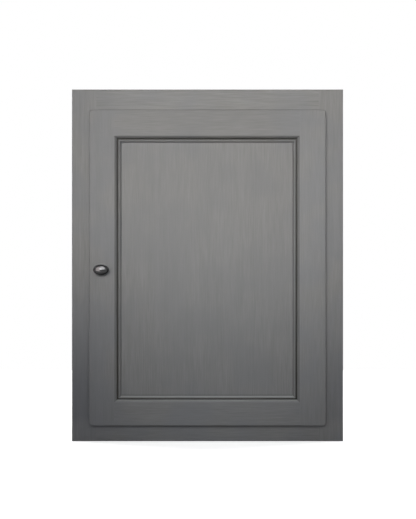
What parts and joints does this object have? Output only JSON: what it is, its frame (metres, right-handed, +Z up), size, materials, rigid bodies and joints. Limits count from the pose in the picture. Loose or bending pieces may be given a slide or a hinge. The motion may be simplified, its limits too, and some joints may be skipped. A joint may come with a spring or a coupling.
{
  "type": "wall cupboard",
  "caption": "Grey painted wall cupboard with a face frame, a panelled overlay door on concealed hinges, loose shelves and an oval metal knob.",
  "frame": {"origin": "on the floor plane under the middle of the whole cupboard, knob included", "axes": "+X to the right seen from the front, +Y to the back, towards the wall, +Z up"},
  "size_m": [0.555, 0.3454, 0.72],
  "materials": {
    "paint": "satin grey paint",
    "interior": "satin grey paint",
    "knob_metal": "polished dark",
    "steel": "nickel plated",
    "catch_case": "matte",
    "magnet": "ground",
    "rubber": "soft"
  },
  "bodies": {
    "case": {"back_panel": "interior", "back_panel_nails": "steel", "bottom_panel": "paint", "catch_body": "catch_case", "catch_magnet": "magnet", "catch_screws": "steel", "frame_rail_bottom": "paint", "frame_rail_top": "paint", "frame_stile_left": "paint", "frame_stile_right": "paint", "hanging_rail_lower": "interior", "hanging_rail_upper": "interior", "hinge_arm_lower": "steel", "hinge_arm_screws": "steel", "hinge_arm_upper": "steel", "hinge_plate_lower": "steel", "hinge_plate_screws": "steel", "hinge_plate_upper": "steel", "shelf_lower": "interior", "shelf_pins": "steel", "shelf_upper": "interior", "side_panel_left": "paint", "side_panel_right": "paint", "top_panel": "paint"},
    "door": {"door_bumpers": "rubber", "door_panel": "paint", "door_rail_bottom": "paint", "door_rail_top": "paint", "door_stile_left": "paint", "door_stile_right": "paint", "hinge_cup_lower": "steel", "hinge_cup_screws": "steel", "hinge_cup_upper": "steel", "hinge_pin_lower": "steel", "hinge_pin_upper": "steel", "knob": "knob_metal", "knob_screw": "steel", "panel_moulding_bottom": "paint", "panel_moulding_left": "paint", "panel_moulding_right": "paint", "panel_moulding_top": "paint", "strike_plate": "steel", "strike_screws": "steel"}
  },
  "joints": [
    {"name": "door_hinge", "type": "hinge", "parent": "case", "child": "door", "pos_m": [0.2327, -0.13775, 0.36], "axis": [0, 0, 1], "range_deg": [0, 105]}
  ]
}
